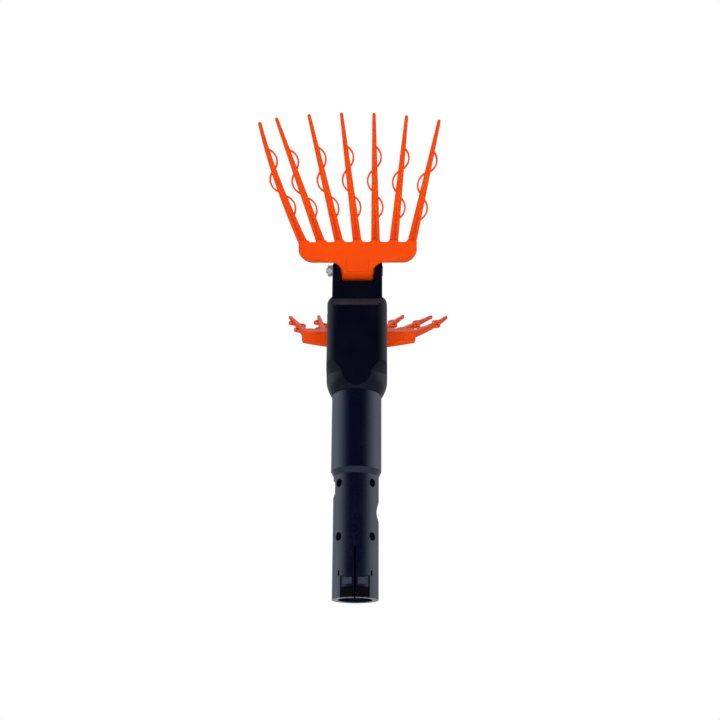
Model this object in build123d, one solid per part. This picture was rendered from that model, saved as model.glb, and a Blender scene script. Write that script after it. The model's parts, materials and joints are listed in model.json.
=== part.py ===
from build123d import *
import os
from math import cos, pi, radians, sin

# Electric olive harvester head, millimetres. The origin is the centre of the socket's mouth, +Z runs up the
# pole's axis, -Y is the side that the picture shows, and the two combs swing about axes along X.

# Pole socket
POLE_R = 16.0
POLE_CLEARANCE = 0.2
SOCKET_WALL = 5.6
SOCKET_DEPTH = 113.0
SOCKET_ROOF = 3.5
SPIGOT_H = 6.0
SPIGOT_CLEARANCE = 0.05
CABLE_HOLE_R = 6.0
CROSS_BOLT_R = 4.0
CROSS_BOLT_TOP_GAP = 5.2
CROSS_BOLT_PITCH = 51.2
CROSS_BOLT_ANGLE = 43.0
SLIT_W = 1.6
SLIT_H = 46.0
RECESS_W = 27.2
RECESS_H = 20.0
RECESS_DEPTH = 1.2
CLIP_SLOT_W = 1.6
CLIP_SLOT_H = 5.0
CLIP_SLOT_GAP = 0.8
CLIP_SLOT_DEPTH = 2.5
FLAT_DEPTH = 2.0
FLAT_BELOW = 3.0
FLAT_H = 15.2
FLAT_RUN_OUT = 2.4
DIMPLE_R = 24.0
DIMPLE_DEPTH = 2.2
DIMPLE_Z = 82.6

# Motor tube
MOTOR_R = 21.0
MOTOR_CLEARANCE = 0.25
TUBE_WALL = 3.1
TUBE_L = 91.5
TUBE_AHEAD = 18.0
TUBE_TAPER_H = 5.5
RIB_H = 2.5
RIB_PROUD = 0.9
RIB_DROP = 2.5
COLLAR_CLEARANCE = 0.1

# Motor
CORE_END_GAP = 1.0
CAN_WALL = 1.8
TERMINAL_L = 5.0
TERMINAL_GAP = 0.5
TERMINAL_W = 5.0
TERMINAL_T = 0.8
TERMINAL_X = 12.0
END_CAP_T = 6.0
BOSS_R = 8.75
BOSS_H = 4.5
MOTOR_SHAFT_R = 2.5
MOTOR_BUSH_R = 5.0
MOTOR_BUSH_L = 6.0
MAGNET_T = 3.0
MAGNET_ARC = 130.0
AIR_GAP = 0.6
COMMUTATOR_R = 5.5
COMMUTATOR_L = 8.0
COMMUTATOR_GAP = 1.2
BRUSH_L = 8.0
BRUSH_W = 5.0
BRUSH_T = 4.0
WINDING_H = 5.0
CORE_SLOTS = 10
CORE_SLOT_W = 2.0
CORE_SLOT_DEPTH = 5.0
BUSH_CLEARANCE = 0.05

# Gear frame on the motor's face
FRAME_T = 4.0
FRAME_SCREW_X = 14.5
FRAME_SCREW_R = 2.0
FRAME_SCREW_HEAD_R = 3.5
FRAME_SCREW_HEAD_H = 2.5
LEG_GAP_Y = 9.0
LEG_W = 11.0
LEG_T = 6.0
LEG_X = -0.5
LUG_T = 4.0
BEARING_RING_R = 11.0

# Gears: a spur pinion on the motor's shaft drives a crown wheel on the crankshaft
MODULE = 1.25
PINION_TEETH = 8
CROWN_TEETH = 32
ADDENDUM = 1.1
DEDENDUM = 1.4
FACE_W = 5.0
TOOTH_ROOT_W = 2.0
TOOTH_TIP_W = 0.7
CROWN_WEB_T = 4.0
CROWN_HUB_R = 9.0
CROWN_HUB_L = 4.0
GEAR_BACKLASH_X = 0.3
PINION_HUB_H = 3.0

# Crank
CRANK_RISE = 18.0
CRANK_THROW = 4.6
CRANK_SHAFT_R = 5.0
CRANK_BUSH_R = 8.0
CRANK_DISC_R = 10.5
CRANK_DISC_T = 4.0
CRANK_PIN_R = 4.0
CRANK_BUSH_OUTER_L = 8.0
SIDE_GAP = 0.5
CROWN_FRAME_GAP = 0.8

# Yoke, which the crank's pin lifts and lowers
YOKE_T = 5.5
YOKE_BAR_W = 12.0
YOKE_EDGE = 4.4
YOKE_SLOT_SLACK = 1.1
YOKE_SLOT_END_SLACK = 0.6
LEVER_SLOT_SLACK = 0.1
LEVER_SLOT_END_SLACK = 0.8
GUIDE_PIN_R = 2.5
GUIDE_SLACK = 0.1
GUIDE_END_SLACK = 0.4
GUIDE_PIN_ROOT = 9.5
GUIDE_BOSS_R = 5.0
GUIDE_LOW_RISE = 24.0
GUIDE_HIGH_RISE = 70.0

# Combs and their swing
SWING = 24.0
UPPER_LEAN = 22.0
LOWER_RISE = 31.0
UPPER_PIVOT_Y = -4.0
UPPER_PIVOT_RISE = 107.0
LOWER_PIVOT_RISE = 48.0
HUB_R = 10.5
HUB_W = 32.0
HUB_EDGE = 0.8
TONGUE_INNER = 7.0
TONGUE_FLARE = 9.2
TONGUE_FLARE_BOW = 1.4
PANEL_W = 21.0
PANEL_DEPTH = 1.2
PANEL_DRAFT = 0.8
PANEL_FOOT = -0.4
PANEL_TOP = 15.5
BAR_FOOT = 8.7
BAR_TOP = 31.0
BAR_W = 121.0
BAR_OVERHANG = 1.05
BAR_MID_T = 11.0
BAR_END_T = 6.0
BAR_EDGE_R = 3.0
BAR_CORNER_R = 14.0
BAR_END_EASE = 0.1
BEVEL_START = 26.0
BEVEL_H = 7.0
BEVEL_D = 9.0
SCALLOP_DEPTH = 2.0
TINES_EACH_SIDE = 3
TINE_TIP_PITCH = 33.2
TINE_LEAN = 16.4
TINE_END = 160.0
TINE_END_DROP = 1.0
TINE_END_TILT = 0.45
TINE_ROOT_DEPTH = 5.0
TINE_ROOT_W = 9.2
TINE_ROOT_T = 7.5
TINE_TIP_W = 3.5
TINE_TIP_T = 3.8
TINE_TIP_H = 1.4
TINE_EDGE = 0.3
BENT_TINE_PULL = 15.9
BENT_TINE_REACH = 1.2
BENT_TINE_BOW_X = 9.5
BENT_TINE_BOW_Z = 8.0
GROOVE_W = 3.6
GROOVE_SHARE = 0.28
GROOVE_DEPTH = 2.0
LOOP_CHORD = 23.0
LOOP_RISE = 5.0
LOOP_W = 1.8
LOOP_FOOT_W = 2.5
LOOP_T = 3.0
LOOP_SINK = 0.8
LOOP_PLACES = ((0.292, 1), (0.494, -1), (0.675, 1))

# Pivot hardware
BOLT_R = 3.0
BOLT_HOLE_CLEARANCE = 0.1
SLEEVE_R = 5.0
BUSH_WALL = 1.5
BUSH_LEVER_GAP = 1.5
BUSH_FLANGE_R = 8.0
BUSH_FLANGE_T = 1.2
FLANGE_GAP = 0.5
HUB_RUNNING_GAP = 0.4
HEX_FLATS = 10.0
HEAD_H = 4.0
HEAD_PROUD = 0.8
NUT_H = 4.6
WASHER_R = 6.0
WASHER_T = 1.0
BOLT_STICK_OUT = 1.5

# Levers
LEVER_T = 5.5
LEVER_EYE_R = 8.5
LEVER_END_R = 5.5
LEVER_PIN_R = 3.0

# Housing
WALL = 3.0
CASE_W = 60.0
CROWN_CASE_GAP = 1.5
BOSS_YOKE_GAP = 2.0
CASE_CORNER_R = 13.0
CASE_TOP_RISE = 73.0
SHOULDER_R = 8.0
SLOPE_H = 14.0
SLOPE_D = 8.0
SLOPE_EDGE_R = 6.0
COLLAR_GRIP = 9.0
COLLAR_EDGE = 1.1
FLARE_H = 18.0
FLARE_OUT = 5.0
FLARE_BULGE = 0.7
FLARE_BULGE_H = 7.2
SPREAD_H = 29.0
SPREAD_OUT = 11.0
NECK_W = 50.4
NECK_SET_BACK = 5.5
NECK_EDGE_R = 2.0
EAR_RELIEF = 0.7
RELIEF_INNER = 72.0
RELIEF_OUTER = 78.0
FRONT_SLOT_BELOW = 19.5
SLOT_BELOW = 11.5
TOWER_ROOF_GAP = 1.0
REAR_ARM_DROP = 23.0
REAR_ARM_RISE = 5.0
REAR_ARM_ROOT = 8.0
SEAM_GAP = 0.1
SCREW_R = 1.65
SCREW_THREAD_CLEARANCE = 0.05
SCREW_HOLE_R = 2.2
SCREW_HEAD_R = 3.6
SCREW_HEAD_H = 3.2
SCREW_HEAD_CLEARANCE = 0.3
SCREW_BOSS_R = 4.2
SCREW_BITE = 18.0
SCREW_SINK = 6.0
FRONT_SCREW_IN = 14.0
FRONT_SCREW_LOW_RISE = 30.0
FRONT_SCREW_HIGH_RISE = 56.0
BACK_SCREW_IN = 5.0
BACK_SCREW_LOW_RISE = 18.0
NECK_SCREW_RISE = 86.0

# Sizes and places that follow from the ones above
SOCKET_BORE_R = POLE_R + POLE_CLEARANCE
SOCKET_R = SOCKET_BORE_R + SOCKET_WALL
TUBE_BORE_R = MOTOR_R + MOTOR_CLEARANCE
TUBE_R = TUBE_BORE_R + TUBE_WALL
TUBE_Z0 = SOCKET_DEPTH + SOCKET_ROOF
TUBE_Z1 = TUBE_Z0 + TUBE_L
CRANK_Z = TUBE_Z1 + CRANK_RISE
CAN_Z0 = TUBE_Z0 + SPIGOT_H + TERMINAL_L + TERMINAL_GAP
CAN_Z1 = TUBE_Z1 - TUBE_AHEAD
CAN_BORE_R = MOTOR_R - CAN_WALL
CORE_R = CAN_BORE_R - MAGNET_T - AIR_GAP
COMMUTATOR_Z0 = CAN_Z0 + END_CAP_T
CORE_Z0 = COMMUTATOR_Z0 + COMMUTATOR_L + COMMUTATOR_GAP + WINDING_H
CORE_Z1 = CAN_Z1 - CAN_WALL - CORE_END_GAP - WINDING_H
PINION_PITCH_R = MODULE * PINION_TEETH / 2
CROWN_PITCH_R = MODULE * CROWN_TEETH / 2
CROWN_FACE_X = PINION_PITCH_R + DEDENDUM + GEAR_BACKLASH_X
PINION_Z0 = CRANK_Z - CROWN_PITCH_R - FACE_W / 2
PINION_Z1 = PINION_Z0 + FACE_W
LEG_X0 = LEG_X - LEG_T / 2
LEG_X1 = LEG_X + LEG_T / 2
DISC_X1 = LEG_X0 - SIDE_GAP
DISC_X0 = DISC_X1 - CRANK_DISC_T
YOKE_X1 = DISC_X0 - SIDE_GAP
YOKE_X0 = YOKE_X1 - YOKE_T
LEVER_X0 = YOKE_X1 + SIDE_GAP
LEVER_X1 = LEVER_X0 + LEVER_T
CROWN_X1 = CROWN_FACE_X + CROWN_WEB_T + CROWN_HUB_L
OUTER_BUSH_X0 = CROWN_X1 + CROWN_FRAME_GAP
OUTER_BUSH_X1 = OUTER_BUSH_X0 + CRANK_BUSH_OUTER_L
UPPER_PIVOT_Z = CRANK_Z + UPPER_PIVOT_RISE
LOWER_PIVOT_Z = CRANK_Z + LOWER_PIVOT_RISE
HALF_SWING = radians(SWING / 2)
LEVER_R = CRANK_THROW / sin(HALF_SWING)
LEVER_REACH = LEVER_R * cos(HALF_SWING)
YOKE_Y = UPPER_PIVOT_Y + LEVER_REACH
LOWER_PIVOT_Y = YOKE_Y + LEVER_REACH
STROKE = 2 * CRANK_THROW
GUIDE_PIN_ZS = (CRANK_Z + GUIDE_LOW_RISE, CRANK_Z + GUIDE_HIGH_RISE)
TINE_PITCH = (BAR_W - 2 * BAR_OVERHANG - TINE_ROOT_W) / (2 * TINES_EACH_SIDE)
BUSH_L = HUB_W / 2 + LEVER_X0 - BUSH_LEVER_GAP
EAR_GAP = HUB_W + 2 * (BUSH_FLANGE_T + HUB_RUNNING_GAP)
BOLT_HOLE_R = BOLT_R + BOLT_HOLE_CLEARANCE
CASE_FRONT = CROWN_PITCH_R + FACE_W / 2 + CROWN_CASE_GAP + WALL
CASE_BACK = YOKE_Y + YOKE_BAR_W / 2 + 2 * SCREW_BOSS_R + BOSS_YOKE_GAP
CASE_D = CASE_FRONT + CASE_BACK
CASE_MID_Y = (CASE_BACK - CASE_FRONT) / 2
CASE_TOP_Z = CRANK_Z + CASE_TOP_RISE
SLOPE_Z = CASE_TOP_Z - SLOPE_H
COLLAR_Z = TUBE_Z1 - COLLAR_GRIP
COLLAR_R = TUBE_R + COLLAR_CLEARANCE
NECK_FRONT = CASE_FRONT - NECK_SET_BACK
TOWER_FRONT_Y = UPPER_PIVOT_Y + HUB_R
TOWER_TOP_Z = UPPER_PIVOT_Z + CRANK_THROW + LEVER_PIN_R + YOKE_EDGE + TOWER_ROOF_GAP + WALL
UPPER_PIVOT = Location((0, UPPER_PIVOT_Y, UPPER_PIVOT_Z))
LOWER_PIVOT = Location((0, LOWER_PIVOT_Y, LOWER_PIVOT_Z))
UPPER_LEVER_TURN = SWING / 2
LOWER_LEVER_TURN = 180 - SWING / 2
RELIEF_SWEEP = RELIEF_INNER + SWING + RELIEF_OUTER
UPPER_RELIEF_START = UPPER_LEAN + 90 - SWING - RELIEF_INNER
LOWER_RELIEF_START = LOWER_RISE - RELIEF_OUTER


def x_rod(radius, x0, x1, y=0.0, z=0.0):
    """Round bar along X."""
    return Pos((x0 + x1) / 2, y, z) * Rot(0, 90, 0) * Cylinder(radius, x1 - x0)


def y_rod(radius, y0, y1, x=0.0, z=0.0):
    """Round bar along Y."""
    return Pos(x, (y0 + y1) / 2, z) * Rot(90, 0, 0) * Cylinder(radius, y1 - y0)


def z_rod(radius, z0, z1, x=0.0, y=0.0):
    """Round bar along Z."""
    return Pos(x, y, (z0 + z1) / 2) * Cylinder(radius, z1 - z0)


def block(x0, x1, y0, y1, z0, z1):
    """Box between two corners."""
    return Pos((x0 + x1) / 2, (y0 + y1) / 2, (z0 + z1) / 2) * Box(x1 - x0, y1 - y0, z1 - z0)


def side_plate(sketch, x0, x1):
    """Plate whose outline is drawn in Y and Z."""
    return extrude(Plane.YZ.offset(x0) * sketch, amount=x1 - x0)


def front_plate(sketch, y0, y1):
    """Plate whose outline is drawn in X and Z."""
    return extrude(Plane.XZ.offset(-y1) * sketch, amount=y1 - y0)


def turned(points):
    """Solid of revolution about Z from radius and height pairs."""
    return revolve(Plane.XZ * make_face(Polyline(*points, close=True)), Axis.Z)


def hex_bar(flats, x0, x1):
    """Hexagon bar along X on the X axis."""
    hexagon = RegularPolygon(flats / 2, 6, major_radius=False)
    return extrude(Plane.YZ.offset(x0) * hexagon, amount=x1 - x0)


# Lower body

def make_pole_socket():
    """Split tube that takes the pole, with a roof and a spigot for the motor tube."""
    spigot_r = TUBE_BORE_R - SPIGOT_CLEARANCE
    socket = z_rod(SOCKET_R, 0, TUBE_Z0) + z_rod(spigot_r, TUBE_Z0, TUBE_Z0 + SPIGOT_H)
    socket -= z_rod(SOCKET_BORE_R, 0, SOCKET_DEPTH)
    socket -= z_rod(CABLE_HOLE_R, SOCKET_DEPTH, TUBE_Z0 + SPIGOT_H)
    top_row = SOCKET_DEPTH - CROSS_BOLT_TOP_GAP
    for row_z in (top_row, top_row - CROSS_BOLT_PITCH):
        for turn in (CROSS_BOLT_ANGLE, 180 - CROSS_BOLT_ANGLE):
            socket -= Pos(0, 0, row_z) * Rot(0, 0, turn) * x_rod(CROSS_BOLT_R, -2 * SOCKET_R, 2 * SOCKET_R)
    recess = z_rod(2 * SOCKET_R, 0, RECESS_H) - z_rod(SOCKET_R - RECESS_DEPTH, 0, RECESS_H)
    socket -= recess & block(-RECESS_W / 2, RECESS_W / 2, -2 * SOCKET_R, 0, 0, RECESS_H)
    socket -= block(-SLIT_W / 2, SLIT_W / 2, -2 * SOCKET_R, 0, 0, SLIT_H)
    clip_ring = z_rod(2 * SOCKET_R, RECESS_H, RECESS_H + CLIP_SLOT_H)
    clip_ring -= z_rod(SOCKET_R - CLIP_SLOT_DEPTH, RECESS_H, RECESS_H + CLIP_SLOT_H)
    for side in (-1, 1):
        near = side * (RECESS_W / 2 + CLIP_SLOT_GAP)
        far = near + side * CLIP_SLOT_W
        socket -= clip_ring & block(min(near, far), max(near, far), -2 * SOCKET_R, 0,
                                    RECESS_H, RECESS_H + CLIP_SLOT_H)
    flat_z1 = TUBE_Z0 - FLAT_BELOW
    flat_z0 = flat_z1 - FLAT_H
    flat = make_face(Polyline((-2 * SOCKET_R, flat_z1), (FLAT_DEPTH - SOCKET_R, flat_z1),
                              (FLAT_DEPTH - SOCKET_R, flat_z0), (-SOCKET_R, flat_z0 - FLAT_RUN_OUT),
                              (-2 * SOCKET_R, flat_z0 - FLAT_RUN_OUT), close=True))
    socket -= front_plate(flat, -SOCKET_R, SOCKET_R)
    dimple_x = SOCKET_R - DIMPLE_DEPTH + DIMPLE_R
    socket -= y_rod(DIMPLE_R, -SOCKET_R, SOCKET_R, dimple_x, DIMPLE_Z)
    return socket


def make_motor_tube():
    """Plain tube round the motor, tapered at its foot, with a rib that the housing grips."""
    rib_z1 = TUBE_Z1 - RIB_DROP
    rib_z0 = rib_z1 - RIB_H
    return turned([(TUBE_BORE_R, TUBE_Z0), (SOCKET_R, TUBE_Z0), (TUBE_R, TUBE_Z0 + TUBE_TAPER_H),
                   (TUBE_R, rib_z0), (TUBE_R + RIB_PROUD, rib_z0), (TUBE_R + RIB_PROUD, rib_z1),
                   (TUBE_R, rib_z1), (TUBE_R, TUBE_Z1), (TUBE_BORE_R, TUBE_Z1)])


# Motor

def make_motor_can():
    """Drawn steel can with a front face and a bearing boss."""
    can = z_rod(MOTOR_R, CAN_Z0, CAN_Z1) + z_rod(BOSS_R, CAN_Z1, CAN_Z1 + BOSS_H)
    can -= z_rod(CAN_BORE_R, CAN_Z0, CAN_Z1 - CAN_WALL)
    can -= z_rod(MOTOR_BUSH_R, CAN_Z1 - CAN_WALL, CAN_Z1 + BOSS_H)
    for side in (-1, 1):
        can -= z_rod(FRAME_SCREW_R, CAN_Z1 - CAN_WALL, CAN_Z1, side * FRAME_SCREW_X)
    return can


def make_motor_bushes():
    """Sleeve bearings in the boss and in the end cap."""
    front_z1 = CAN_Z1 + BOSS_H
    bushes = []
    for z0, z1 in ((front_z1 - MOTOR_BUSH_L, front_z1), (CAN_Z0, CAN_Z0 + END_CAP_T)):
        bushes.append(z_rod(MOTOR_BUSH_R, z0, z1) - z_rod(MOTOR_SHAFT_R + BUSH_CLEARANCE, z0, z1))
    return Compound(bushes)


def make_motor_end_cap():
    """Moulded cap that closes the can and carries the brushes."""
    cap = z_rod(CAN_BORE_R, CAN_Z0, CAN_Z0 + END_CAP_T) - z_rod(MOTOR_BUSH_R, CAN_Z0, CAN_Z0 + END_CAP_T)
    for side in (-1, 1):
        cap -= terminal_blade(side)
    return cap


def terminal_blade(side):
    """One supply blade, sunk halfway into the end cap."""
    x_mid = side * TERMINAL_X
    return block(x_mid - TERMINAL_T / 2, x_mid + TERMINAL_T / 2, -TERMINAL_W / 2, TERMINAL_W / 2,
                 CAN_Z0 - TERMINAL_L, CAN_Z0 + END_CAP_T / 2)


def make_motor_brushes():
    """Two carbon brushes on the end cap, against the commutator."""
    brushes = []
    for side in (-1, 1):
        near = side * (COMMUTATOR_R + BUSH_CLEARANCE)
        far = near + side * BRUSH_L
        brushes.append(block(min(near, far), max(near, far), -BRUSH_T / 2, BRUSH_T / 2,
                             COMMUTATOR_Z0, COMMUTATOR_Z0 + BRUSH_W))
    return Compound(brushes)


def make_motor_magnets():
    """Two arc magnets against the can's wall."""
    ring = z_rod(CAN_BORE_R, CORE_Z0, CORE_Z1) - z_rod(CAN_BORE_R - MAGNET_T, CORE_Z0, CORE_Z1)
    gap = (180 - MAGNET_ARC) / 2
    magnets = []
    for start in (gap, 180 + gap):
        sector = CenterArc((0, 0), 2 * MOTOR_R, start, MAGNET_ARC)
        wedge = make_face([sector, Line((0, 0), sector @ 0), Line(sector @ 1, (0, 0))])
        magnets.append(ring & extrude(Pos(0, 0, CORE_Z0) * wedge, amount=CORE_Z1 - CORE_Z0))
    return Compound([magnet.solid() for magnet in magnets])


def make_motor_shaft():
    """Shaft through both bushes, up to the top of the pinion."""
    return z_rod(MOTOR_SHAFT_R, CAN_Z0, PINION_Z1)


def make_armature_core():
    """Slotted lamination stack."""
    core = z_rod(CORE_R, CORE_Z0, CORE_Z1) - z_rod(MOTOR_SHAFT_R, CORE_Z0, CORE_Z1)
    for index in range(CORE_SLOTS):
        slot = block(CORE_R - CORE_SLOT_DEPTH, 2 * CORE_R, -CORE_SLOT_W / 2, CORE_SLOT_W / 2,
                     CORE_Z0, CORE_Z1)
        core -= Rot(0, 0, index * 360 / CORE_SLOTS) * slot
    return core


def make_armature_winding():
    """End turns of the winding, one bundle on each face of the core."""
    bundles = []
    for z0 in (CORE_Z0 - WINDING_H, CORE_Z1):
        bundle = z_rod(CORE_R - AIR_GAP, z0, z0 + WINDING_H) - z_rod(COMMUTATOR_R, z0, z0 + WINDING_H)
        bundles.append(bundle)
    return Compound(bundles)


def make_commutator():
    """Copper commutator between the brushes."""
    z1 = COMMUTATOR_Z0 + COMMUTATOR_L
    return z_rod(COMMUTATOR_R, COMMUTATOR_Z0, z1) - z_rod(MOTOR_SHAFT_R, COMMUTATOR_Z0, z1)


# Gear frame and drive

def make_gear_frame():
    """Cast bracket on the motor's face, with two legs up to the inner crank bearing."""
    z0 = CAN_Z1
    frame = z_rod(MOTOR_R, z0, z0 + FRAME_T) - z_rod(BOSS_R, z0, z0 + FRAME_T)
    for side in (-1, 1):
        frame -= z_rod(FRAME_SCREW_R, z0, z0 + FRAME_T, side * FRAME_SCREW_X)
        near = side * LEG_GAP_Y
        far = near + side * LEG_W
        frame += block(LEG_X0, LEG_X1, min(near, far), max(near, far), z0 + FRAME_T, CRANK_Z)
        lug = side * TUBE_R
        frame += block(LEG_X0, LEG_X1, min(far, lug), max(far, lug), TUBE_Z1, TUBE_Z1 + LUG_T)
    bridge_y = LEG_GAP_Y + LEG_W
    frame += block(LEG_X0, LEG_X1, -bridge_y, bridge_y,
                   CRANK_Z - BEARING_RING_R / 2, CRANK_Z + BEARING_RING_R / 2)
    frame += x_rod(BEARING_RING_R, LEG_X0, LEG_X1, 0, CRANK_Z)
    return frame - x_rod(CRANK_BUSH_R, LEG_X0, LEG_X1, 0, CRANK_Z)


def make_frame_screws():
    """Two screws that hold the gear frame on the motor."""
    seat_z = CAN_Z1 + FRAME_T
    screws = []
    for side in (-1, 1):
        shank = z_rod(FRAME_SCREW_R, seat_z - FRAME_T - CAN_WALL, seat_z, side * FRAME_SCREW_X)
        head = z_rod(FRAME_SCREW_HEAD_R, seat_z, seat_z + FRAME_SCREW_HEAD_H, side * FRAME_SCREW_X)
        screws.append(shank + head)
    return Compound(screws)


def tooth_outline(root, tip):
    """Straight-sided tooth, drawn from its root radius to its tip radius along X."""
    return make_face(Polyline((root, -TOOTH_ROOT_W / 2), (tip, -TOOTH_TIP_W / 2), (tip, TOOTH_TIP_W / 2),
                              (root, TOOTH_ROOT_W / 2), close=True))


def make_drive_pinion():
    """Steel pinion pressed on the motor's shaft, one tooth towards +X."""
    root = PINION_PITCH_R - DEDENDUM
    tooth = tooth_outline(root - TOOTH_ROOT_W / 4, PINION_PITCH_R + ADDENDUM)
    pinion = z_rod(root, PINION_Z0 - PINION_HUB_H, PINION_Z1)
    for index in range(PINION_TEETH):
        turned_tooth = Pos(0, 0, PINION_Z0) * Rot(0, 0, index * 360 / PINION_TEETH) * tooth
        pinion += extrude(turned_tooth, amount=FACE_W)
    return pinion - z_rod(MOTOR_SHAFT_R, PINION_Z0 - PINION_HUB_H, PINION_Z1)


def make_crown_gear():
    """Crown wheel whose teeth face the pinion, with a gap at the lowest point."""
    inner = CROWN_PITCH_R - FACE_W / 2
    outer = CROWN_PITCH_R + FACE_W / 2
    gear = x_rod(outer, CROWN_FACE_X, CROWN_FACE_X + CROWN_WEB_T)
    gear += x_rod(CROWN_HUB_R, CROWN_FACE_X, CROWN_X1)
    tooth_tip = PINION_PITCH_R - ADDENDUM
    profile = make_face(Polyline((-TOOTH_ROOT_W / 2, CROWN_FACE_X), (-TOOTH_TIP_W / 2, tooth_tip),
                                 (TOOTH_TIP_W / 2, tooth_tip), (TOOTH_ROOT_W / 2, CROWN_FACE_X), close=True))
    radial = Plane(origin=(0, 0, -inner), x_dir=(0, 1, 0), z_dir=(0, 0, -1))
    tooth = extrude(radial * profile, amount=FACE_W)
    teeth = [Rot((index + 0.5) * 360 / CROWN_TEETH, 0, 0) * tooth for index in range(CROWN_TEETH)]
    gear = gear + teeth
    gear -= x_rod(CRANK_SHAFT_R, tooth_tip, CROWN_X1)
    return Pos(0, 0, CRANK_Z) * gear


def make_crankshaft():
    """Shaft, disc and offset pin; the pin stands at the top of its circle at rest."""
    shaft = x_rod(CRANK_SHAFT_R, DISC_X1, OUTER_BUSH_X1, 0, CRANK_Z)
    disc = x_rod(CRANK_DISC_R, DISC_X0, DISC_X1, 0, CRANK_Z)
    pin = x_rod(CRANK_PIN_R, YOKE_X0, DISC_X0, 0, CRANK_Z + CRANK_THROW)
    return shaft + disc + pin


def crank_bush(x0, x1):
    """Sintered bronze bush for the crankshaft."""
    return x_rod(CRANK_BUSH_R, x0, x1, 0, CRANK_Z) - x_rod(CRANK_SHAFT_R + BUSH_CLEARANCE, x0, x1, 0, CRANK_Z)


def make_drive_yoke():
    """Plate with a cross slot for the crank's pin, guide slots, and a slot for each lever's pin."""
    slot_z = CRANK_Z + CRANK_THROW
    slot_h = 2 * (CRANK_PIN_R + YOKE_SLOT_SLACK)
    slot_w = 2 * (CRANK_THROW + CRANK_PIN_R + YOKE_SLOT_END_SLACK)
    foot_y = slot_w / 2 + YOKE_EDGE
    foot_z = slot_h / 2 + YOKE_EDGE
    bar_y0 = YOKE_Y - YOKE_BAR_W / 2
    bar_y1 = YOKE_Y + YOKE_BAR_W / 2
    upper_slot_z = UPPER_PIVOT_Z + CRANK_THROW
    lower_slot_z = LOWER_PIVOT_Z + CRANK_THROW
    top_z = upper_slot_z + LEVER_PIN_R + YOKE_EDGE
    outline = make_face(Polyline((-foot_y, slot_z - foot_z), (foot_y, slot_z - foot_z),
                                 (bar_y1, slot_z + foot_z / 2), (bar_y1, top_z), (bar_y0, top_z),
                                 (bar_y0, slot_z + foot_z + YOKE_EDGE), (bar_y0 - YOKE_EDGE, slot_z + foot_z),
                                 (-foot_y, slot_z + foot_z), close=True))
    outline -= Pos(0, slot_z) * SlotOverall(slot_w, slot_h)
    lever_slot_h = 2 * (LEVER_PIN_R + LEVER_SLOT_SLACK)
    for lever_z in (upper_slot_z, lower_slot_z):
        outline -= Pos(YOKE_Y, lever_z) * SlotOverall(lever_slot_h + 2 * LEVER_SLOT_END_SLACK, lever_slot_h)
    guide_w = 2 * (GUIDE_PIN_R + GUIDE_SLACK)
    guide_h = guide_w + STROKE + 2 * GUIDE_END_SLACK
    for pin_z in GUIDE_PIN_ZS:
        outline -= Pos(YOKE_Y, pin_z + STROKE / 2) * Rot(0, 0, 90) * SlotOverall(guide_h, guide_w)
    return side_plate(outline, YOKE_X0, YOKE_X1)


def make_yoke_guide_pins():
    """Two pins in the left housing half, on which the yoke slides."""
    pins = [x_rod(GUIDE_PIN_R, YOKE_X0 - SIDE_GAP - GUIDE_PIN_ROOT, YOKE_X1, YOKE_Y, pin_z)
            for pin_z in GUIDE_PIN_ZS]
    return Compound(pins)


# Combs: drawn upright, with the pivot on the X axis, tines along +Z and the inner side towards +Y

def tine_spine(index):
    """Root, pulled middle and tip of a tine's centre line."""
    bent = index == -TINES_EACH_SIDE
    root = Vector(TINE_PITCH * index, 0, BAR_TOP - TINE_ROOT_DEPTH)
    tip = Vector(TINE_TIP_PITCH * index - TINE_LEAN, 0,
                 TINE_END + TINE_END_TILT * index - TINE_END_DROP * index ** 2)
    if bent:
        tip += Vector(BENT_TINE_PULL, 0, BENT_TINE_REACH)
    bow = Vector(-BENT_TINE_BOW_X, 0, BENT_TINE_BOW_Z) if bent else Vector(0, 0, 0)
    return root, (root + tip) * 0.5 + bow, tip


def tine_point(index, share):
    """Point on the centre line of a tine, from its root (share 0) to its tip (share 1)."""
    root, middle, tip = tine_spine(index)
    return root * (1 - share) ** 2 + middle * (2 * share * (1 - share)) + tip * share ** 2


def tine_plane(index, share):
    """Plane across a tine: its local X lies in the comb and its normal points to the tip."""
    root, middle, tip = tine_spine(index)
    heading = ((middle - root) * (1 - share) + (tip - middle) * share).normalized()
    return Plane(origin=tine_point(index, share), x_dir=(heading.Z, 0, -heading.X), z_dir=heading)


def tine_width(share):
    return TINE_ROOT_W + (TINE_TIP_W - TINE_ROOT_W) * share


def tine_depth(share):
    return TINE_ROOT_T + (TINE_TIP_T - TINE_ROOT_T) * share


def tine_section(index, share):
    width = tine_width(share)
    return tine_plane(index, share) * RectangleRounded(width, tine_depth(share), width * TINE_EDGE)


def make_tine(index):
    """Tapered finger with a blunt tip, a wedge groove at its root and three side loops."""
    shares = (0, 0.25, 0.5, 0.75, 1) if index == -TINES_EACH_SIDE else (0, 1)
    tine = loft([tine_section(index, share) for share in shares])
    tip_plane = tine_plane(index, 1)
    tip_end = RectangleRounded(TINE_TIP_W / 2, TINE_TIP_T / 2, TINE_TIP_W * TINE_EDGE / 2)
    tine += loft([tine_section(index, 1), tip_plane * Pos(0, 0, TINE_TIP_H) * tip_end], ruled=True)
    tine -= tine_groove(index)
    return [tine] + [make_loop(index, share, side) for share, side in LOOP_PLACES]


def tine_groove(index):
    """Wedge that narrows from the bar towards the tip, cut into the outer face."""
    root_share = TINE_ROOT_DEPTH / (TINE_END - BAR_TOP)
    root = tine_point(index, root_share)
    end = tine_point(index, GROOVE_SHARE)
    across = tine_plane(index, root_share).x_dir * (GROOVE_W / 2)
    left = root - across
    right = root + across
    wedge = make_face(Polyline((left.X, left.Z), (right.X, right.Z), (end.X, end.Z), close=True))
    return front_plate(wedge, -TINE_ROOT_T, GROOVE_DEPTH - tine_depth(GROOVE_SHARE / 2) / 2)


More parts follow.
